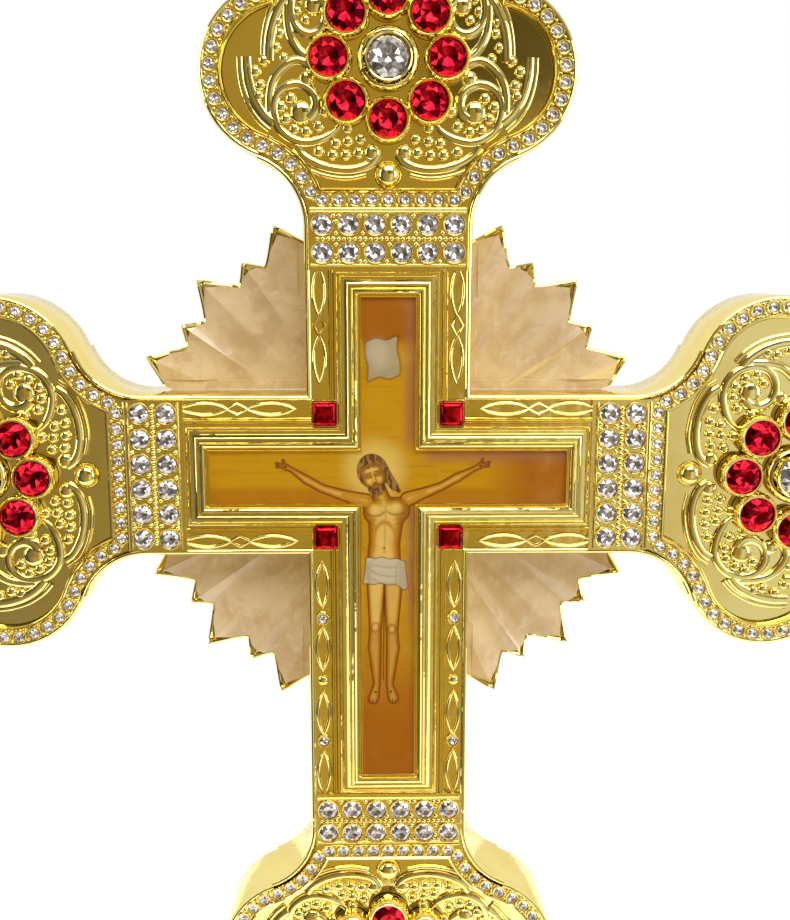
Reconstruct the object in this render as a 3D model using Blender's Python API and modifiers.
"""Standing altar cross: a hollow gilt cross with trefoil ends on a turned foot.

The cross carries a painted icon under a clear dome, bands and borders of crystals, a ruby
cluster on each end and a pleated fan of rays in each corner. A tie rod runs from the lower end
through the stem and the foot. Units are metres, +Z is up, the front faces -Y, and the origin is
under the middle of the foot. The cross is modelled in its own space: X is right, Z is up from the
cross centre, and Y is the depth behind the face of the rim, so a negative depth stands proud.
"""

import math

import bmesh
import bpy
from mathutils import Matrix, Vector

# Gap left between pieces that touch
CLEARANCE = 0.0003

# Icon and its stepped frame
ICON_HALF_WIDTH = 0.0054
ICON_REACH = 0.0364
LOWER_EXTRA = 0.0287
FRAME_WIDTH = 0.0052
FRAME_RISE = 0.0026
PICTURE_RISE = 0.0014
ICON_RECESS = 0.0020
DOME_RISE = 0.0007
BEAD_SHARE = 0.20
REBATE_SHARE = 0.40
COVE_START_SHARE = 0.56
COVE_END_SHARE = 0.84
FILLET_SHARE = 0.88

# Front of the arms, outward from the frame
LIP_WIDTH = 0.0012
LIP_RISE = 0.0006
CHANNEL_WIDTH = 0.0036
CHANNEL_DEPTH = 0.0006
RIM_WIDTH = 0.0011
BAR_WIDTH = 0.0003

# Crystal bands across the arms
BAND_ROWS = 2
BAND_COLUMNS = 6
BAND_ROW_PITCH = 0.0054
BAND_STONE_RADIUS = 0.0019
BAND_STONE_RISE = 0.0013
BAND_THICKNESS = 0.0012
BAND_DEPTH = 0.0010

# Crystal border round each trefoil end
TRACK_WIDTH = 0.0038
BORDER_SINK = 0.0002
BORDER_STONE_PITCH = 0.0032
BORDER_STONE_RADIUS = 0.0011
BORDER_STONE_RISE = 0.0009

# Ruby cluster in each trefoil end
RUBY_COUNT = 8
RUBY_RADIUS = 0.0036
RUBY_RISE = 0.0010
CUP_WALL = 0.00095
CUP_OVERLAP = 0.00019
CUP_HEIGHT = 0.0034
CENTRE_CRYSTAL_RADIUS = 0.0041
CENTRE_GAP = 0.0008
CENTRE_HEIGHT = 0.0036
CRYSTAL_CROWN = 0.0012
CRYSTAL_PAVILION = 0.0022
TABLE_SHARE = 0.6

# Trefoil outline: room left round the ruby cluster, and the curves of the edge
NECK_MARGIN = 0.0088
SIDE_MARGIN = 0.0160
END_MARGIN = 0.0140
LOBE_LEAD = 0.0028
END_RADIUS = 0.0270
FLARE_LEAD = 0.0030
FLARE_RADIUS = 0.0136
CUSP_STEP = 0.0006

# Scrollwork plate
PANEL_DEPTH = 0.0026
PANEL_FLOOR = 0.0014
PLATE_THICKNESS = 0.0009
SCROLL_RADIUS = 0.00065
SCROLL_GAP = 0.0005
VOLUTE_RADIUS = 0.0042
VOLUTE_BEARING = math.radians(108)
OUTER_VOLUTE_RADIUS = 0.0036
VOLUTE_EYE = 0.0012
VOLUTE_TURNS = 1.4
VOLUTE_START = math.radians(225)
OUTER_VOLUTE_START = math.radians(135)
HOOK_RADIUS = 0.0036
HOOK_OFFSET = 0.0063
HOOK_TURNS = 0.75
HOOK_START = math.radians(112)
BOW_RISE = 0.0031
NECK_BEAD_RADIUS = 0.0023
NECK_BEAD_INSET = 0.0006

# Casing
CASE_DEPTH = 0.0160
WALL = 0.0020
COVER_THICKNESS = 0.0020
BOSS_RADIUS = 0.0034
SCREW_RADIUS = 0.0013
SCREW_LENGTH = 0.0080
SCREW_HEAD_RADIUS = 0.0027
SCREW_HEAD_TOP_RADIUS = 0.0019
SCREW_HEAD_HEIGHT = 0.0014

# Ray fans in the corners
RAY_PITCH = math.radians(10)
RAY_COUNT = 5
LONG_RAY = 0.0560
SHORT_RAY = 0.0526
VALLEY = 0.0495
LONG_RAY_HALF_ANGLE = math.radians(6.1)
RAY_RIDGE = 0.0016
FAN_DEPTH = 0.0115
FAN_THICKNESS = 0.0022
PEARL_THICKNESS = 0.0007
PEARL_TIP_MARGIN = 0.0030
PEARL_VALLEY_MARGIN = 0.0010
TAB_STATION = 0.0300
TAB_WIDTH = 0.0120
TAB_THICKNESS = 0.0010
TAB_REACH = 0.0010
TAB_SLIDE = 0.0020

# Single stones on the arms
CORNER_RUBY_HALF = 0.00235
CORNER_RUBY_RISE = 0.0018
STRIP_CRYSTAL_RADIUS = 0.0010
STRIP_CRYSTAL_RISE = 0.0012
STRIP_CRYSTAL_STATIONS = (0.0308, 0.0584)

# Stem, foot and fixings
ROD_RADIUS = 0.0020
ROD_CLEARANCE = 0.0005
ROD_GRIP = 0.0110
NUT_FLATS = 0.0070
NUT_HEIGHT = 0.0030
WASHER_RADIUS = 0.0060
WASHER_THICKNESS = 0.0010
FELT_THICKNESS = 0.0020
FELT_INSET = 0.0025
FOOT_LIFT = 0.0008
FOOT_RADIUS = 0.0550
FOOT_HEIGHT = 0.0380
FOOT_STEP_HEIGHT = 0.0065
FOOT_STEP_WIDTH = 0.0055
FOOT_WALL = 0.0025
FOOT_TOP_RADIUS = 0.0140
FOOT_LAND = 0.0075
FOOT_CURVE_BASE = 0.0140
HOLLOW_END = math.radians(198)
FOOT_POST_RADIUS = 0.0070
BALLAST_INSET = 0.0090
BALLAST_THICKNESS = 0.0080
BALLAST_POCKET_RADIUS = 0.0085
STEM_HEIGHT = 0.0520
STEM_END_RADIUS = 0.0120
STEM_NECK_RADIUS = 0.0075
KNOP_RADIUS = 0.0160
KNOP_HEIGHT = 0.0200
KNOP_SPREAD = math.radians(81)
STEM_END_HEIGHT = 0.0030
SADDLE_RADIUS = 0.0135
SADDLE_FLOOR = 0.0060
SADDLE_CHEEK = 0.0015

# Facets
FLARE_STEPS = 3
LOBE_STEPS = 5
END_STEPS = 3
TURNED_STEPS = 16
BEZEL_STEPS = 12
STONE_STEPS = 8
BAND_STONE_SIDES = 6
BORDER_STONE_SIDES = 4
SQUARE_SIDES = 4
HEXAGON_SIDES = 6
VOLUTE_STEPS = 9
HOOK_STEPS = 5
BEAD_STEPS = 3
FOOT_STEPS = 5
HOLLOW_STEPS = 3
KNOP_STEPS = 6
SHARP_ANGLE = math.radians(35)
OVERCUT = 0.0020
WELD_DISTANCE = 0.000001
FLAT_ANGLE = math.radians(0.2)

# Stations along an arm, from the cross centre
frame_half = ICON_HALF_WIDTH + FRAME_WIDTH
frame_reach = ICON_REACH + FRAME_WIDTH
lip_start = frame_half + CLEARANCE
channel_start = lip_start + LIP_WIDTH
rim_start = channel_start + CHANNEL_WIDTH
arm_half = rim_start + RIM_WIDTH
icon_pocket_reach = frame_reach + CLEARANCE
band_pocket_start = icon_pocket_reach + BAR_WIDTH
band_start = band_pocket_start + CLEARANCE
band_end = band_start + BAND_ROWS * BAND_ROW_PITCH
band_pocket_end = band_end + CLEARANCE
band_half = rim_start - CLEARANCE
track_start = band_pocket_end + BAR_WIDTH
panel_start = track_start + TRACK_WIDTH
panel_inset = RIM_WIDTH + TRACK_WIDTH

# Ruby cluster
cup_radius = RUBY_RADIUS + CUP_WALL
ring_radius = (cup_radius - CUP_OVERLAP) / math.sin(math.pi / RUBY_COUNT)
cluster_radius = ring_radius + cup_radius
setting_radius = ring_radius - cup_radius - CENTRE_GAP
cluster_station = panel_start + NECK_MARGIN + cluster_radius

# Trefoil outline
lobe_half = cluster_radius + SIDE_MARGIN + panel_inset
end_reach = cluster_station + cluster_radius + END_MARGIN + panel_inset
end_station = end_reach - END_RADIUS
flare_start = band_end - FLARE_LEAD
flare_across = arm_half + FLARE_RADIUS
lobe_station = cluster_station - LOBE_LEAD
lobe_run = lobe_station - flare_start
lobe_spread = lobe_half - arm_half + CUSP_STEP
centre_distance = (lobe_run**2 + lobe_spread**2) / (2 * lobe_spread)
lobe_radius = centre_distance - FLARE_RADIUS - CUSP_STEP
lobe_across = lobe_half - lobe_radius

# Depths behind the face of the rim
face_thickness = PANEL_DEPTH + PANEL_FLOOR
plate_back = PANEL_DEPTH - CLEARANCE
plate_front = plate_back - PLATE_THICKNESS
cup_back = plate_front - CLEARANCE
band_back = BAND_DEPTH - CLEARANCE
band_front = band_back - BAND_THICKNESS
border_front = BORDER_SINK
frame_back = ICON_RECESS - CLEARANCE
panel_front = -PICTURE_RISE
rebate_front = panel_front - CLEARANCE
dome_back = rebate_front
cover_back = CASE_DEPTH - CLEARANCE
cover_front = cover_back - COVER_THICKNESS
rod_depth = (face_thickness + cover_front) / 2
fan_back = FAN_DEPTH + FAN_THICKNESS

# Radii of the foot
foot_step_radius = FOOT_RADIUS - FOOT_STEP_WIDTH
foot_curve_radius = foot_step_radius - FOOT_LAND
felt_radius = FOOT_RADIUS - FOOT_WALL - FELT_INSET
ballast_radius = foot_step_radius - FOOT_WALL - BALLAST_INSET

# Heights above the surface the foot stands on
ballast_bottom = FELT_THICKNESS + CLEARANCE
ballast_top = ballast_bottom + BALLAST_THICKNESS
foot_top = FOOT_LIFT + FOOT_HEIGHT
stem_bottom = foot_top + CLEARANCE
stem_top = stem_bottom + STEM_HEIGHT
saddle_bottom = stem_top + CLEARANCE
cross_bottom = saddle_bottom + SADDLE_FLOOR + CLEARANCE
cross_height = cross_bottom + end_reach + LOWER_EXTRA
rod_hole = ROD_RADIUS + ROD_CLEARANCE

ARMS = ("upper", "right", "lower", "left")
CORNERS = ("upper_right", "lower_right", "lower_left", "upper_left")


# Outlines


def turned_point(turn, along, across):
    """The X and Z of a point on the arm that is `turn` quarter turns clockwise from the upper one."""
    angle = turn * math.pi / 2
    return (
        across * math.cos(angle) + along * math.sin(angle),
        along * math.cos(angle) - across * math.sin(angle),
    )


def arc(centre, radius, start, end, steps):
    """Points on an arc, as distances along and across an arm, without its last point."""
    angles = [start + (end - start) * step / steps for step in range(steps)]
    return [(centre[0] + radius * math.cos(a), centre[1] + radius * math.sin(a)) for a in angles]


def curve_points(centre, across, high, start, end, steps):
    """Points of radius and height on an elliptic curve."""
    angles = [start + (end - start) * step / steps for step in range(steps + 1)]
    return [(centre[0] + across * math.cos(a), centre[1] + high * math.sin(a)) for a in angles]


def lobe_side(inset, start, stepped=False):
    """One edge of a trefoil end, moved inward by `inset`, from the station `start` to the tip.

    A flare leaves the arm, a side lobe follows it and an end lobe closes the outline. With
    `stepped` the flare stands proud of the side lobe by the cusp step, as on the casting's edge.
    """
    ease = 0 if stepped else CUSP_STEP / 2
    flare_radius = FLARE_RADIUS + inset + ease
    side_radius = lobe_radius - inset + ease
    end_radius = END_RADIUS - inset
    drop = flare_across - lobe_across
    to_flare = math.atan2(drop, -lobe_run)
    points = []
    first = -math.pi / 2
    if start > flare_start:
        first += math.asin((start - flare_start) / flare_radius)
    else:
        points.append((start, flare_across - flare_radius))
    flare_end = to_flare - math.pi
    points += arc((flare_start, flare_across), flare_radius, first, flare_end, FLARE_STEPS)
    if stepped:
        points += arc((flare_start, flare_across), flare_radius, flare_end, flare_end, 1)

    gap = Vector((end_station - lobe_station, -lobe_across))
    along_gap = (side_radius**2 - end_radius**2 + gap.length_squared) / (2 * gap.length)
    off_gap = math.sqrt(side_radius**2 - along_gap**2)
    unit = gap.normalized()
    meeting = unit * along_gap + Vector((-unit.y, unit.x)) * off_gap
    side_end = math.atan2(meeting.y, meeting.x)
    points += arc((lobe_station, lobe_across), side_radius, to_flare, side_end, LOBE_STEPS)
    cusp = meeting - gap
    end_start = math.atan2(cusp.y, cusp.x)
    points += arc((end_station, 0), end_radius, end_start, 0, END_STEPS)
    points.append((end_station + end_radius, 0))
    return points


def lobe_loop(inset, start):
    """The closed outline of the area inside a trefoil end of the upper arm, in X and Z."""
    side = lobe_side(inset, start)
    whole = side + [(along, -across) for along, across in reversed(side[:-1])]
    return [turned_point(0, along, across) for along, across in whole]


def arm_shift(turn):
    """How much longer this arm is than the upper one."""
    return LOWER_EXTRA if ARMS[turn] == "lower" else 0


def cross_outline(inset):
    """The closed outline of the whole cross, moved inward by `inset`."""
    corner = arm_half - inset
    side = lobe_side(inset, corner, stepped=True)
    points = []
    for turn in range(len(ARMS)):
        shift = arm_shift(turn)
        points.append(turned_point(turn, corner, -corner))
        points += [turned_point(turn, along + shift, -across) for along, across in side[1:]]
        points += [turned_point(turn, along + shift, across) for along, across in side[-2:0:-1]]
    return points


def icon_outline(grow):
    """The plain cross outline of the icon, moved outward by `grow`."""
    half = ICON_HALF_WIDTH + grow
    points = []
    for turn in range(len(ARMS)):
        reach = ICON_REACH + grow + arm_shift(turn)
        points += [turned_point(turn, half, -half)]
        points += [turned_point(turn, reach, -half), turned_point(turn, reach, half)]
    return points


def arm_rectangle(turn, start, end, inner, outer):
    """A rectangle on an arm, between two stations and two distances from the arm's axis."""
    corners = ((start, inner), (end, inner), (end, outer), (start, outer))
    return [turned_point(turn, along, across) for along, across in corners]


# Mesh helpers

scene_objects = list(bpy.data.objects)
for old_object in scene_objects:
    bpy.data.objects.remove(old_object)

pieces = bpy.data.collections.new("altar_cross")
bpy.context.scene.collection.children.link(pieces)

cross_centre = bpy.data.objects.new("cross_centre", None)
cross_centre.location = (0, -rod_depth, cross_height)
pieces.objects.link(cross_centre)


def finish_material(name, colour, roughness, metallic):
    """A Principled material with one colour and finish."""
    material = bpy.data.materials.new(name)
    material.use_nodes = True
    shader = material.node_tree.nodes["Principled BSDF"]
    shader.inputs["Base Color"].default_value = (*colour, 1)
    shader.inputs["Roughness"].default_value = roughness
    shader.inputs["Metallic"].default_value = metallic
    return material


gold = finish_material("polished_gold", (0.83, 0.62, 0.16), 0.12, 1)
ruby = finish_material("ruby_glass", (0.55, 0.0, 0.02), 0.05, 0)
crystal = finish_material("clear_crystal", (0.85, 0.85, 0.87), 0.05, 0)
pearl = finish_material("pearl_enamel", (0.80, 0.68, 0.50), 0.25, 0)
paint = finish_material("icon_paint", (0.75, 0.36, 0.08), 0.45, 0)
resin = finish_material("clear_resin", (0.95, 0.93, 0.88), 0.03, 0)
steel = finish_material("bright_steel", (0.55, 0.55, 0.56), 0.3, 1)
iron = finish_material("cast_iron", (0.12, 0.12, 0.12), 0.7, 1)
felt = finish_material("green_felt", (0.03, 0.12, 0.06), 0.95, 0)


def bare_object(name, data):
    """An object in the scene that is still being worked on."""
    obj = bpy.data.objects.new(name, data)
    pieces.objects.link(obj)
    return obj


def remove(obj):
    """Takes away a tool object and its data."""
    data = obj.data
    bpy.data.objects.remove(obj)
    if isinstance(data, bpy.types.Mesh):
        bpy.data.meshes.remove(data)
    else:
        bpy.data.curves.remove(data)


def weld(mesh):
    """Merges points that coincide, joins faces that lie in one plane and turns all faces outward."""
    work = bmesh.new()
    work.from_mesh(mesh)
    bmesh.ops.remove_doubles(work, verts=work.verts, dist=WELD_DISTANCE)
    bmesh.ops.dissolve_degenerate(work, dist=WELD_DISTANCE, edges=work.edges)
    bmesh.ops.dissolve_limit(work, angle_limit=FLAT_ANGLE, verts=work.verts, edges=work.edges)
    bmesh.ops.recalc_face_normals(work, faces=work.faces)
    work.to_mesh(mesh)
    work.free()


def solid_from(obj):
    """A mesh object with the evaluated, welded shape of `obj`, which is removed."""
    graph = bpy.context.evaluated_depsgraph_get()
    graph.update()
    mesh = bpy.data.meshes.new_from_object(obj.evaluated_get(graph))
    mesh.transform(obj.evaluated_get(graph).matrix_world)
    weld(mesh)
    name = obj.name
    remove(obj)
    return bare_object(name, mesh)


def loft(name, loops, ring):
    """A skin over loops of equal length. A ring closes on its first loop, and a solid is capped."""
    work = bmesh.new()
    rows = [[work.verts.new((x, depth, z)) for x, z in loop] for loop, depth in loops]
    count = len(rows[0])
    pairs = list(zip(rows, rows[1:]))
    if ring:
        pairs.append((rows[-1], rows[0]))
    else:
        work.faces.new(rows[0])
        work.faces.new(rows[-1])
    for row, following in pairs:
        for i in range(count):
            j = (i + 1) % count
            work.faces.new((row[i], row[j], following[j], following[i]))
    bmesh.ops.recalc_face_normals(work, faces=work.faces)
    mesh = bpy.data.meshes.new(name)
    work.to_mesh(mesh)
    work.free()
    return bare_object(name, mesh)


def plate(name, loop, front, back):
    """A flat piece between two depths."""
    return loft(name, [(loop, front), (loop, back)], ring=False)


def tube(name, path, radius):
    """A rod of square section along points in space."""
    curve = bpy.data.curves.new(name, "CURVE")
    curve.dimensions = "3D"
    curve.bevel_depth = radius
    curve.bevel_resolution = 0
    curve.use_fill_caps = True
    spline = curve.splines.new("POLY")
    spline.points.add(len(path) - 1)
    for point, place in zip(spline.points, path):
        point.co = (*place, 1)
    return solid_from(bare_object(name, curve))


def turned(name, profile, steps, closed=False):
    """A shape turned round Z from points of radius and height that run down its outer side."""
    mesh = bpy.data.meshes.new(name)
    edges = [(i, i + 1) for i in range(len(profile) - 1)]
    if closed:
        edges.append((len(profile) - 1, 0))
    mesh.from_pydata([(radius, 0, height) for radius, height in profile], edges, [])
    obj = bare_object(name, mesh)
    screw = obj.modifiers.new("turn", "SCREW")
    screw.steps = steps
    screw.render_steps = steps
    screw.use_merge_vertices = True
    screw.merge_threshold = WELD_DISTANCE
    return solid_from(obj)


def face_front(obj, x, depth, z, spin=0):
    """Stands a shape that was turned round Z on the face, pointing to the front."""
    placing = Matrix.Translation((x, depth, z)) @ Matrix.Rotation(math.pi / 2, 4, "X")
    obj.data.transform(placing @ Matrix.Rotation(spin, 4, "Z"))
    return obj


def joined(name, objects):
    """One mesh object that holds all these shapes as they are."""
    work = bmesh.new()
    for obj in objects:
        work.from_mesh(obj.data)
        remove(obj)
    mesh = bpy.data.meshes.new(name)
    work.to_mesh(mesh)
    work.free()
    return bare_object(name, mesh)


def carve(target, operation, tools):
    """Applies each tool to the target with a Boolean, and removes the tools."""
    for tool in tools:
        boolean = target.modifiers.new(tool.name, "BOOLEAN")
        boolean.operation = operation
        boolean.solver = "EXACT"
        boolean.object = tool
        graph = bpy.context.evaluated_depsgraph_get()
        graph.update()
        mesh = bpy.data.meshes.new_from_object(target.evaluated_get(graph))
        weld(mesh)
        target.modifiers.clear()
        old_mesh = target.data
        target.data = mesh
        bpy.data.meshes.remove(old_mesh)
        remove(tool)
    return target


def finish(obj, material, smooth=False):
    """Gives a finished piece its material and shading."""
    obj.data.materials.clear()
    obj.data.materials.append(material)
    if smooth:
        obj.data.shade_smooth()
        obj.data.set_sharp_from_angle(angle=SHARP_ANGLE)
    return obj


def set_on_arms(obj, base_name, material, smooth=False):
    """Repeats a piece made for the upper arm on every arm, sharing its mesh."""
    finish(obj, material, smooth)
    mesh = obj.data
    bpy.data.objects.remove(obj)
    for turn, arm in enumerate(ARMS):
        copy = bare_object(f"{base_name}_{arm}", mesh)
        copy.parent = cross_centre
        copy.rotation_euler.y = turn * math.pi / 2
        copy.location.z = -arm_shift(turn)


def set_in_corners(obj, base_name, material, smooth=False):
    """Repeats a piece made for the upper right corner in every corner, sharing its mesh."""
    finish(obj, material, smooth)
    mesh = obj.data
    bpy.data.objects.remove(obj)
    for turn, corner in enumerate(CORNERS):
        copy = bare_object(f"{base_name}_{corner}", mesh)
        copy.parent = cross_centre
        copy.rotation_euler.y = turn * math.pi / 2


def set_on_cross(obj, material, smooth=False):
    """Hangs a piece made in the cross's own space on the cross centre."""
    finish(obj, material, smooth)
    obj.parent = cross_centre


# Casing of the cross


def placed_on_arm(obj, turn):
    """Moves a shape made for the upper arm onto another arm."""
    turning = Matrix.Rotation(turn * math.pi / 2, 4, "Y")
    obj.data.transform(Matrix.Translation((0, 0, -arm_shift(turn))) @ turning)
    return obj


def arm_pockets():
    """The pockets for the bands and for the insides of the trefoil ends, as one tool."""
    tools = []
    for turn in range(len(ARMS)):
        band = arm_rectangle(0, band_pocket_start, band_pocket_end, -rim_start, rim_start)
        tools.append(placed_on_arm(plate("band_pocket", band, -OVERCUT, BAND_DEPTH), turn))
        inside = lobe_loop(RIM_WIDTH, track_start)
        tools.append(placed_on_arm(plate("end_pocket", inside, -OVERCUT, PANEL_DEPTH), turn))
    return joined("arm_pockets", tools)


def strips(name, start, end, inner, outer, front, back):
    """A strip along both sides of every arm, as one tool."""
    tools = []
    for turn in range(len(ARMS)):
        for side in (-1, 1):
            stretch = end + arm_shift(turn)
            outline = arm_rectangle(turn, start, stretch, side * inner, side * outer)
            tools.append(plate(name, outline, front, back))
    return joined(name, tools)


def fan_slots():
    """The slots in the side walls that take the tabs of the fans, as one tool."""
    half = TAB_WIDTH / 2 + TAB_SLIDE
    front = fan_back - 2 * CLEARANCE - TAB_THICKNESS
    tools = []
    for turn in range(len(ARMS)):
        for side in (-1, 1):
            inner = side * (arm_half - WALL - OVERCUT)
            outer = side * (arm_half + OVERCUT)
            slot = arm_rectangle(turn, TAB_STATION - half, TAB_STATION + half, inner, outer)
            tools.append(plate("fan_slot", slot, front, fan_back))
    return joined("fan_slots", tools)


def screw_places():
    """Where the cover screws go: behind each ruby cluster."""
    stations = [cluster_station + arm_shift(turn) for turn in range(len(ARMS))]
    return [turned_point(turn, station, 0) for turn, station in enumerate(stations)]


def rods_along_depth(name, radius, front, back, steps):
    """A round bar through the depth at every cover screw, as one tool."""
    bars = []
    for x, z in screw_places():
        profile = [(0, back - front), (radius, back - front), (radius, 0), (0, 0)]
        bars.append(face_front(turned(name, profile, steps), x, back, z))
    return joined(name, bars)


def build_casing():
    """The cast front: a shell open at the back, with seats for everything set into its face."""
    body = plate("front_casing", cross_outline(0), 0, CASE_DEPTH)
    cavity = plate("cavity", cross_outline(WALL), face_thickness, CASE_DEPTH + OVERCUT)
    carve(body, "DIFFERENCE", [cavity])
    lip_edge = channel_start + BAR_WIDTH
    lip_end = frame_reach - BAR_WIDTH
    lips = strips("lips", arm_half + BAR_WIDTH, lip_end, frame_half, lip_edge, -LIP_RISE, 2 * CHANNEL_DEPTH)
    boss_back = cover_front - CLEARANCE
    bosses = rods_along_depth("bosses", BOSS_RADIUS, face_thickness - BAR_WIDTH, boss_back, STONE_STEPS)
    carve(body, "UNION", [lips, bosses])
    icon_pocket = plate("icon_pocket", icon_outline(FRAME_WIDTH + CLEARANCE), -OVERCUT, ICON_RECESS)
    channels = strips("channels", arm_half, frame_reach, channel_start, rim_start, -OVERCUT, CHANNEL_DEPTH)
    pilot_depth = boss_back - SCREW_LENGTH
    pilots = rods_along_depth(
        "pilots", SCREW_RADIUS + CLEARANCE, pilot_depth, boss_back + OVERCUT, STONE_STEPS
    )
    rod_profile = [(0, 2 * WALL), (rod_hole, 2 * WALL), (rod_hole, -OVERCUT), (0, -OVERCUT)]
    rod_way = turned("rod_way", rod_profile, STONE_STEPS)
    way_place = Matrix.Translation((0, rod_depth, -end_reach - LOWER_EXTRA))
    rod_way.data.transform(way_place @ Matrix.Rotation(math.pi / STONE_STEPS, 4, "Z"))
    tools = [arm_pockets(), icon_pocket, channels, fan_slots(), pilots, rod_way]
    carve(body, "DIFFERENCE", tools)
    set_on_cross(body, gold, smooth=True)


def build_cover():
    """The flat back cover and its screws."""
    cover = plate("back_cover", cross_outline(WALL + CLEARANCE), cover_front, cover_back)
    holes = rods_along_depth(
        "holes", SCREW_RADIUS + CLEARANCE, cover_front - OVERCUT, cover_back + OVERCUT, STONE_STEPS
    )
    carve(cover, "DIFFERENCE", [holes])
    set_on_cross(cover, gold, smooth=True)
    head = cover_back + CLEARANCE
    profile = [
        (0, SCREW_LENGTH),
        (SCREW_RADIUS, SCREW_LENGTH),
        (SCREW_RADIUS, 0),
        (SCREW_HEAD_RADIUS, 0),
        (SCREW_HEAD_RADIUS, -SCREW_HEAD_HEIGHT / 2),
        (SCREW_HEAD_TOP_RADIUS, -SCREW_HEAD_HEIGHT),
        (0, -SCREW_HEAD_HEIGHT),
    ]
    for arm, (x, z) in zip(ARMS, screw_places()):
        screw = turned(f"cover_screw_{arm}", profile, STONE_STEPS)
        set_on_cross(face_front(screw, x, head, z), steel, smooth=True)


# Icon


def build_icon():
    """The mitred frame, the painted panel in its rebate and the clear dome over the picture."""
    bead = FRAME_WIDTH * BEAD_SHARE
    rebate = FRAME_WIDTH * REBATE_SHARE
    bead_side = -FRAME_RISE + bead / 2
    cove = -FRAME_RISE / 2
    fillet = cove - bead / 2
    section = [
        (0, rebate_front),
        (0, bead_side),
        (bead / 2, -FRAME_RISE),
        (bead, -FRAME_RISE),
        (bead + bead / 2, bead_side),
        (FRAME_WIDTH * COVE_START_SHARE, cove),
        (FRAME_WIDTH * COVE_END_SHARE, cove),
        (FRAME_WIDTH * FILLET_SHARE, fillet),
        (FRAME_WIDTH, fillet),
        (FRAME_WIDTH, frame_back),
        (rebate, frame_back),
        (rebate, rebate_front),
    ]
    frame = loft("icon_frame", [(icon_outline(grow), depth) for grow, depth in section], ring=True)
    set_on_cross(frame, gold)
    panel = plate("icon_panel", icon_outline(rebate - CLEARANCE), panel_front, frame_back)
    set_on_cross(panel, paint)
    edge = dome_back - DOME_RISE / 2
    crown = dome_back - DOME_RISE
    dome_loops = [
        (icon_outline(-CLEARANCE), dome_back),
        (icon_outline(-CLEARANCE), edge),
        (icon_outline(-CLEARANCE - DOME_RISE / 3), crown + DOME_RISE / 6),
        (icon_outline(-CLEARANCE - DOME_RISE), crown),
    ]
    set_on_cross(loft("icon_dome", dome_loops, ring=False), resin)


# Set stones


def frustums(name, places, radius, top_radius, front, back, sides):
    """Cut stones at places in X and Z, with the table at the front, as one mesh."""
    work = bmesh.new()
    for x, z in places:
        placing = Matrix.Translation((x, (front + back) / 2, z)) @ Matrix.Rotation(math.pi / 2, 4, "X")
        bmesh.ops.create_cone(
            work,
            cap_ends=True,
            segments=sides,
            radius1=radius,
            radius2=top_radius,
            depth=back - front,
            matrix=placing,
        )
    mesh = bpy.data.meshes.new(name)
    work.to_mesh(mesh)
    work.free()
    return bare_object(name, mesh)


def build_bands():
    """A plate across each arm with rows of crystals set in it."""
    outline = arm_rectangle(0, band_start, band_end, -band_half, band_half)
    band = plate("crystal_band", outline, band_front, band_back)
    column_pitch = 2 * (band_half - BAND_STONE_RADIUS - BAR_WIDTH) / (BAND_COLUMNS - 1)
    places = []
    for row in range(BAND_ROWS):
        for column in range(BAND_COLUMNS):
            across = (column - (BAND_COLUMNS - 1) / 2) * column_pitch
            places.append((across, band_start + (row + 0.5) * BAND_ROW_PITCH))
    front = band_front - BAND_STONE_RISE
    back = band_front + BAND_THICKNESS / 2
    table = BAND_STONE_RADIUS * TABLE_SHARE
    stones = frustums("band_stones", places, BAND_STONE_RADIUS, table, front, back, BAND_STONE_SIDES)
    set_on_arms(carve(band, "UNION", [stones]), "crystal_band", crystal)


def spaced_along(loop, pitch):
    """Points at even steps of about `pitch` along a closed loop."""
    corners = [Vector(point) for point in loop]
    ends = corners[1:] + corners[:1]
    lengths = [(b - a).length for a, b in zip(corners, ends)]
    count = round(sum(lengths) / pitch)
    step = sum(lengths) / count
    places = []
    travelled = 0
    for a, b, length in zip(corners, ends, lengths):
        while len(places) < count and len(places) * step <= travelled + length:
            places.append(a.lerp(b, (len(places) * step - travelled) / length))
        travelled += length
    return [(place.x, place.y) for place in places]


def build_borders():
    """A strip round each trefoil end with a row of small crystals set in it."""
    outer = lobe_loop(RIM_WIDTH + CLEARANCE, track_start + CLEARANCE)
    inner = lobe_loop(panel_inset, panel_start)
    border = plate("crystal_border", outer, border_front, plate_back)
    carve(border, "DIFFERENCE", [plate("inside", inner, border_front - OVERCUT, plate_back + OVERCUT)])
    middle = TRACK_WIDTH / 2
    line = lobe_loop(RIM_WIDTH + middle, track_start + middle)
    places = spaced_along(line, BORDER_STONE_PITCH)
    front = border_front - BORDER_STONE_RISE
    back = border_front + BORDER_STONE_RISE / 2
    stones = frustums("border_stones", places, BORDER_STONE_RADIUS, 0, front, back, BORDER_STONE_SIDES)
    set_on_arms(carve(border, "UNION", [stones]), "crystal_border", crystal)


def ruby_cup(turn):
    """One cup of the cluster with its ruby, standing at the turn of its place on the ring."""
    cup_corner = cup_radius / math.cos(math.pi / STONE_STEPS)
    profile = [
        (0, CUP_HEIGHT + RUBY_RISE),
        (RUBY_RADIUS * TABLE_SHARE, CUP_HEIGHT + RUBY_RISE),
        (RUBY_RADIUS, CUP_HEIGHT),
        (cup_corner, CUP_HEIGHT),
        (cup_corner, 0),
        (0, 0),
    ]
    angle = turn * 2 * math.pi / RUBY_COUNT
    x = ring_radius * math.sin(angle)
    z = cluster_station + ring_radius * math.cos(angle)
    return face_front(turned("cup", profile, STONE_STEPS), x, cup_back, z, spin=-angle)


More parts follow.
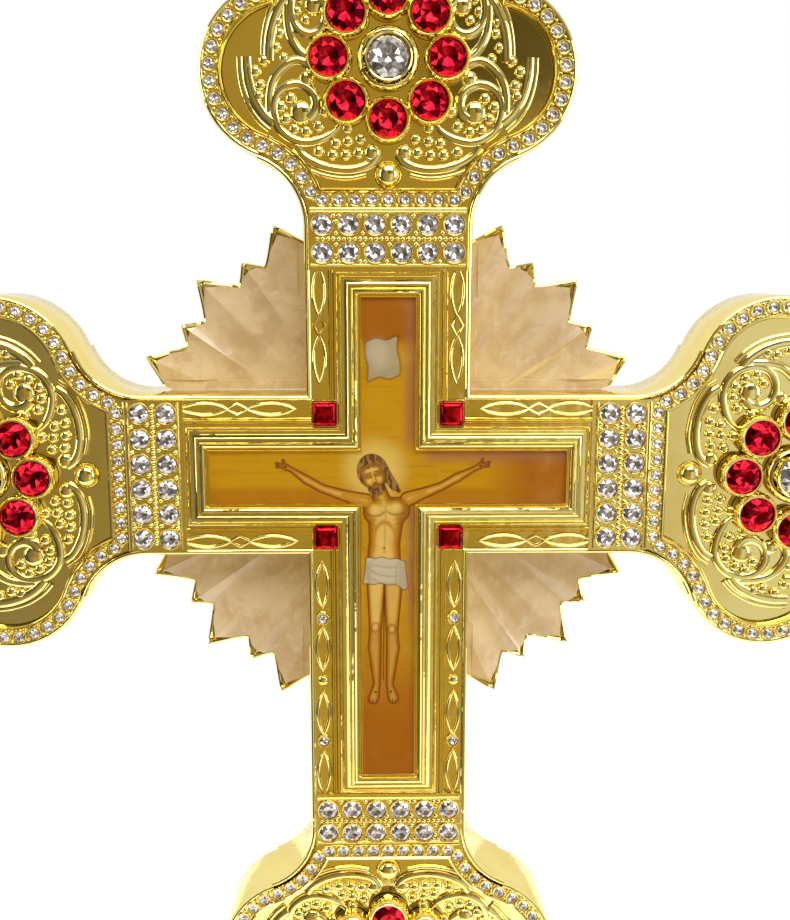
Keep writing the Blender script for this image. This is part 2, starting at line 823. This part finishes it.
def build_clusters():
    """A ring of ruby cups that touch each other, and the bezel and crystal in the middle."""
    even = joined("ruby_cluster", [ruby_cup(turn) for turn in range(0, RUBY_COUNT, 2)])
    odd = joined("odd_cups", [ruby_cup(turn) for turn in range(1, RUBY_COUNT, 2)])
    set_on_arms(carve(even, "UNION", [odd]), "ruby_cluster", ruby)

    seat = CENTRE_CRYSTAL_RADIUS + CLEARANCE
    lip = (setting_radius + seat) / 2
    girdle = CENTRE_HEIGHT - CLEARANCE
    seat_floor = CENTRE_HEIGHT - CRYSTAL_PAVILION - 2 * CLEARANCE
    bezel = [
        (seat, CENTRE_HEIGHT),
        (lip, CENTRE_HEIGHT),
        (setting_radius, CENTRE_HEIGHT / 2),
        (setting_radius, 0),
        (seat / 3, 0),
        (seat / 3, seat_floor),
        (seat, girdle - CLEARANCE),
    ]
    setting = turned("centre_setting", bezel, BEZEL_STEPS, closed=True)
    face_front(setting, 0, cup_back, cluster_station)
    set_on_arms(setting, "centre_setting", gold, smooth=True)
    stone = [
        (0, girdle + CRYSTAL_CROWN),
        (CENTRE_CRYSTAL_RADIUS * TABLE_SHARE, girdle + CRYSTAL_CROWN),
        (CENTRE_CRYSTAL_RADIUS, girdle + CLEARANCE),
        (CENTRE_CRYSTAL_RADIUS, girdle),
        (CENTRE_CRYSTAL_RADIUS / 3, seat_floor + 2 * CLEARANCE),
        (0, seat_floor + 2 * CLEARANCE),
    ]
    gem = face_front(turned("centre_crystal", stone, BEZEL_STEPS), 0, cup_back, cluster_station)
    set_on_arms(gem, "centre_crystal", crystal)


def build_single_stones():
    """The square rubies at the inner corners and the small crystals on the lower arm's channels."""
    side = CORNER_RUBY_HALF * math.sqrt(2)
    profile = [
        (0, CORNER_RUBY_RISE),
        (side * TABLE_SHARE, CORNER_RUBY_RISE),
        (side, CORNER_RUBY_RISE / 2),
        (side, 0),
        (0, 0),
    ]
    place = rim_start - BAR_WIDTH - CORNER_RUBY_HALF
    stone = turned("corner_ruby", profile, SQUARE_SIDES)
    face_front(stone, place, -CLEARANCE, place, spin=math.pi / SQUARE_SIDES)
    set_in_corners(stone, "corner_ruby", ruby)

    crown = [
        (0, STRIP_CRYSTAL_RISE),
        (STRIP_CRYSTAL_RADIUS * TABLE_SHARE, STRIP_CRYSTAL_RISE),
        (STRIP_CRYSTAL_RADIUS, STRIP_CRYSTAL_RISE / 3),
        (STRIP_CRYSTAL_RADIUS, 0),
        (0, 0),
    ]
    across = channel_start + CHANNEL_WIDTH / 2
    for row, station in zip(("high", "low"), STRIP_CRYSTAL_STATIONS):
        for side_name, x in (("left", -across), ("right", across)):
            chip = turned(f"strip_crystal_{row}_{side_name}", crown, STONE_STEPS)
            set_on_cross(face_front(chip, x, CHANNEL_DEPTH - CLEARANCE, -station), crystal)


# Scrollwork


def mirrored_tubes(name, path):
    """A scroll on each side of the arm's axis, lying on the plate, as one tool."""
    depth = plate_front + SCROLL_RADIUS / 5
    sides = []
    for side in (-1, 1):
        points = [(side * across, depth, along) for along, across in path]
        sides.append(tube(name, points, SCROLL_RADIUS))
    return joined(name, sides)


def spiral(centre, radius, start, turns, steps):
    """Points from the outside of a spiral to its eye, as distances along and across the arm."""
    points = []
    for step in range(steps + 1):
        share = step / steps
        angle = start + share * turns * 2 * math.pi
        reach = radius + (VOLUTE_EYE - radius) * share
        points.append((centre[0] + reach * math.cos(angle), centre[1] + reach * math.sin(angle)))
    return points


def build_scroll_plates():
    """The plate inside each border, with volutes, hooks and a bead in relief."""
    outline = lobe_loop(panel_inset + CLEARANCE, panel_start + CLEARANCE)
    panel = plate("scroll_plate", outline, plate_front, plate_back)
    diagonal = ring_radius * math.sqrt(0.5)
    near_cup = (cluster_station - diagonal, diagonal)
    reach = cup_radius + SCROLL_GAP + SCROLL_RADIUS + VOLUTE_RADIUS
    volute_centre = (
        near_cup[0] + reach * math.cos(VOLUTE_BEARING),
        near_cup[1] + reach * math.sin(VOLUTE_BEARING),
    )
    volute = spiral(volute_centre, VOLUTE_RADIUS, VOLUTE_START, -VOLUTE_TURNS, VOLUTE_STEPS)

    hook_centre = (volute_centre[0] + HOOK_OFFSET, volute_centre[1])
    hook = spiral(hook_centre, HOOK_RADIUS, HOOK_START, -HOOK_TURNS, HOOK_STEPS)

    far_reach = cluster_radius + SCROLL_GAP + SCROLL_RADIUS + OUTER_VOLUTE_RADIUS
    far_centre = (cluster_station + far_reach * math.sqrt(0.5), far_reach * math.sqrt(0.5))
    far_volute = spiral(far_centre, OUTER_VOLUTE_RADIUS, OUTER_VOLUTE_START, VOLUTE_TURNS, VOLUTE_STEPS)

    bead_station = panel_start + CLEARANCE + NECK_BEAD_INSET + NECK_BEAD_RADIUS
    bow_start = (bead_station, NECK_BEAD_RADIUS + SCROLL_RADIUS + SCROLL_GAP)
    bow_width = arm_half - bow_start[1] - 2 * SCROLL_RADIUS
    bow = []
    for step in range(HOOK_STEPS + 1):
        share = step / HOOK_STEPS
        along = bow_start[0] + BOW_RISE * (2 * share - 1) ** 2
        bow.append((along, bow_start[1] + bow_width * share))

    tools = [
        mirrored_tubes("volute", volute),
        mirrored_tubes("hook", hook),
        mirrored_tubes("far_volute", far_volute),
        mirrored_tubes("bow", bow),
    ]
    height = NECK_BEAD_RADIUS
    bead_profile = curve_points((0, 0), height, height, math.pi / 2, 0, BEAD_STEPS)
    bead_profile += [(height, -PLATE_THICKNESS / 2), (0, -PLATE_THICKNESS / 2)]
    tools.append(face_front(turned("bead", bead_profile, STONE_STEPS), 0, plate_front, bead_station))
    set_on_arms(carve(panel, "UNION", tools), "scroll_plate", gold, smooth=True)


# Ray fans


def ray_spokes():
    """The angle, edge radius and ridge height of each tip and valley, across one corner."""
    spokes = []
    for ray in range(RAY_COUNT):
        angle = math.pi / 4 + (ray - (RAY_COUNT - 1) / 2) * RAY_PITCH
        is_long = ray % 2 == 0
        half = LONG_RAY_HALF_ANGLE if is_long else RAY_PITCH - LONG_RAY_HALF_ANGLE
        if ray == 0:
            spokes.append((angle - half, VALLEY, False))
        spokes.append((angle, LONG_RAY if is_long else SHORT_RAY, True))
        spokes.append((angle + half, VALLEY, False))
    return spokes


def pleated_sheet(name, lift, thickness, tip_margin, valley_margin):
    """A sheet pleated along the rays. The front lies `lift` before the fan's own front.

    Without a thickness the back is the fan's flat back.
    """
    inner = arm_half / 2
    work = bmesh.new()
    fronts = []
    backs = []
    for angle, edge, is_tip in ray_spokes():
        margin = tip_margin if is_tip else valley_margin
        for radius in (inner, edge - margin):
            rise = RAY_RIDGE * radius / LONG_RAY if is_tip else 0
            x = radius * math.cos(angle)
            z = radius * math.sin(angle)
            depth = FAN_DEPTH - rise - lift
            fronts.append(work.verts.new((x, depth, z)))
            back_depth = depth + thickness if thickness else fan_back
            backs.append(work.verts.new((x, back_depth, z)))
    spokes = len(fronts) // 2
    for spoke in range(spokes - 1):
        a = 2 * spoke
        work.faces.new((fronts[a], fronts[a + 1], fronts[a + 3], fronts[a + 2]))
        work.faces.new((backs[a], backs[a + 1], backs[a + 3], backs[a + 2]))
        work.faces.new((fronts[a + 1], fronts[a + 3], backs[a + 3], backs[a + 1]))
        work.faces.new((fronts[a], fronts[a + 2], backs[a + 2], backs[a]))
    last = 2 * spokes - 2
    work.faces.new((fronts[0], fronts[1], backs[1], backs[0]))
    work.faces.new((fronts[last], fronts[last + 1], backs[last + 1], backs[last]))
    bmesh.ops.recalc_face_normals(work, faces=work.faces)
    mesh = bpy.data.meshes.new(name)
    work.to_mesh(mesh)
    work.free()
    return bare_object(name, mesh)


def build_fans():
    """A gilt fan of rays in each corner, held by tabs in the walls, and the pearl laid on it."""
    fan = pleated_sheet("ray_fan", 0, 0, 0, 0)
    clear_of_case = plate("case_way", cross_outline(-CLEARANCE), -OVERCUT, CASE_DEPTH + OVERCUT)
    carve(fan, "DIFFERENCE", [clear_of_case])
    tab_front = fan_back - CLEARANCE - TAB_THICKNESS
    tabs = []
    inner = arm_half - WALL - TAB_REACH
    outer = arm_half + CLEARANCE + TAB_REACH
    for turn, side in ((0, 1), (1, -1)):
        start = TAB_STATION - TAB_WIDTH / 2
        outline = arm_rectangle(turn, start, start + TAB_WIDTH, side * inner, side * outer)
        tabs.append(plate("tab", outline, tab_front, fan_back - CLEARANCE))
    carve(fan, "UNION", [joined("tabs", tabs)])
    set_in_corners(fan, "ray_fan", gold)

    lift = CLEARANCE + PEARL_THICKNESS
    sheet = pleated_sheet("pearl_inlay", lift, PEARL_THICKNESS, PEARL_TIP_MARGIN, PEARL_VALLEY_MARGIN)
    clear_of_wall = plate("wall_way", cross_outline(-2 * CLEARANCE), -OVERCUT, CASE_DEPTH + OVERCUT)
    set_in_corners(carve(sheet, "DIFFERENCE", [clear_of_wall]), "pearl_inlay", pearl)


# Stem and foot


def build_foot():
    """The hollow turned foot with a post inside, its ballast, felt pad, nut and washer."""
    across = foot_curve_radius - FOOT_TOP_RADIUS
    high = foot_top - FOOT_CURVE_BASE
    centre = (foot_curve_radius, foot_top)
    step_top = FOOT_LIFT + FOOT_STEP_HEIGHT
    profile = [(rod_hole, foot_top)]
    profile += curve_points(centre, across, high, math.pi, 1.5 * math.pi, FOOT_STEPS)
    profile += [
        (foot_step_radius, FOOT_CURVE_BASE),
        (foot_step_radius, step_top),
        (FOOT_RADIUS, step_top),
        (FOOT_RADIUS, FOOT_LIFT),
        (FOOT_RADIUS - FOOT_WALL, FOOT_LIFT),
        (FOOT_RADIUS - FOOT_WALL, step_top - FOOT_WALL),
        (foot_step_radius - FOOT_WALL, step_top - FOOT_WALL),
        (foot_step_radius - FOOT_WALL, FOOT_CURVE_BASE - FOOT_WALL),
    ]
    hollow = curve_points(
        centre, across + FOOT_WALL, high + FOOT_WALL, 1.5 * math.pi, HOLLOW_END, HOLLOW_STEPS
    )
    profile += hollow
    profile += [
        (FOOT_POST_RADIUS, hollow[-1][1]),
        (FOOT_POST_RADIUS, ballast_top + CLEARANCE),
        (rod_hole, ballast_top + CLEARANCE),
    ]
    set_on_table(turned("foot", profile, TURNED_STEPS, closed=True), gold)

    pocket_top = ballast_bottom + NUT_HEIGHT + WASHER_THICKNESS + 3 * CLEARANCE
    weight = [
        (rod_hole, ballast_top),
        (ballast_radius, ballast_top),
        (ballast_radius, ballast_bottom),
        (BALLAST_POCKET_RADIUS, ballast_bottom),
        (BALLAST_POCKET_RADIUS, pocket_top),
        (rod_hole, pocket_top),
    ]
    set_on_table(turned("ballast", weight, TURNED_STEPS, closed=True), iron)
    washer_top = pocket_top - CLEARANCE
    washer = ring_profile(WASHER_RADIUS, washer_top - WASHER_THICKNESS, washer_top)
    set_on_table(turned("foot_washer", washer, STONE_STEPS, closed=True), steel)
    build_nut("foot_nut", ballast_bottom + CLEARANCE)
    pad_edge = felt_radius - FELT_THICKNESS / 2
    pad = [
        (0, FELT_THICKNESS),
        (pad_edge, FELT_THICKNESS),
        (felt_radius, FELT_THICKNESS / 2),
        (felt_radius, 0),
        (0, 0),
    ]
    set_on_table(turned("felt_pad", pad, TURNED_STEPS), felt)


def ring_profile(radius, bottom, top):
    """The section of a flat ring round the tie rod."""
    return [(rod_hole, top), (radius, top), (radius, bottom), (rod_hole, bottom)]


def build_nut(name, bottom):
    """A hexagon nut on the tie rod, with two flats facing front and back."""
    corner = NUT_FLATS / math.sqrt(3)
    bore = rod_hole / math.cos(math.pi / HEXAGON_SIDES)
    top = bottom + NUT_HEIGHT
    section = [(bore, top), (corner, top), (corner, bottom), (bore, bottom)]
    set_on_table(turned(name, section, HEXAGON_SIDES, closed=True), steel)


def set_on_table(obj, material):
    """Finishes a piece that was turned on the upright axis of the foot."""
    finish(obj, material, smooth=True)


def build_stem():
    """The turned stem with its knop, the saddle under the cross, and the rod with its upper nut."""
    knop_middle = stem_bottom + STEM_HEIGHT / 2
    end_low = stem_bottom + STEM_END_HEIGHT
    end_high = stem_top - STEM_END_HEIGHT
    taper = STEM_END_RADIUS - STEM_NECK_RADIUS
    profile = [
        (rod_hole, stem_top),
        (STEM_END_RADIUS, stem_top),
        (STEM_END_RADIUS, end_high),
        (STEM_NECK_RADIUS, end_high - taper),
        (STEM_NECK_RADIUS, knop_middle + KNOP_HEIGHT / 2),
    ]
    bulge = KNOP_RADIUS - STEM_NECK_RADIUS
    profile += curve_points(
        (STEM_NECK_RADIUS, knop_middle), bulge, KNOP_HEIGHT / 2, KNOP_SPREAD, -KNOP_SPREAD, KNOP_STEPS
    )
    profile += [
        (STEM_NECK_RADIUS, knop_middle - KNOP_HEIGHT / 2),
        (STEM_NECK_RADIUS, end_low + taper),
        (STEM_END_RADIUS, end_low),
        (STEM_END_RADIUS, stem_bottom),
        (rod_hole, stem_bottom),
    ]
    set_on_table(turned("stem_knop", profile, TURNED_STEPS, closed=True), gold)

    saddle_top = cross_bottom + SADDLE_CHEEK
    section = [
        (rod_hole, saddle_top),
        (SADDLE_RADIUS, saddle_top),
        (SADDLE_RADIUS, saddle_bottom + SADDLE_FLOOR / 2),
        (STEM_END_RADIUS, saddle_bottom),
        (rod_hole, saddle_bottom),
    ]
    saddle = turned("saddle_collar", section, TURNED_STEPS, closed=True)
    seat = plate("seat", cross_outline(-CLEARANCE), -CLEARANCE, CASE_DEPTH + CLEARANCE)
    seat.data.transform(Matrix.Translation((0, -rod_depth, cross_height)))
    set_on_table(carve(saddle, "DIFFERENCE", [seat]), gold)

    rod_low = ballast_bottom + CLEARANCE
    rod_high = cross_bottom + WALL + ROD_GRIP
    rod = [(0, rod_high), (ROD_RADIUS, rod_high), (ROD_RADIUS, rod_low), (0, rod_low)]
    set_on_table(turned("tie_rod", rod, STONE_STEPS), steel)
    before_tip, tip = lobe_side(WALL, arm_half - WALL)[-2:]
    floor_slope = (tip[0] - before_tip[0]) / before_tip[1]
    floor_rise = floor_slope * NUT_FLATS / math.sqrt(3)
    build_nut("anchor_nut", cross_bottom + WALL + floor_rise + CLEARANCE)


build_casing()
build_cover()
build_icon()
build_bands()
build_borders()
build_clusters()
build_single_stones()
build_scroll_plates()
build_fans()
build_foot()
build_stem()
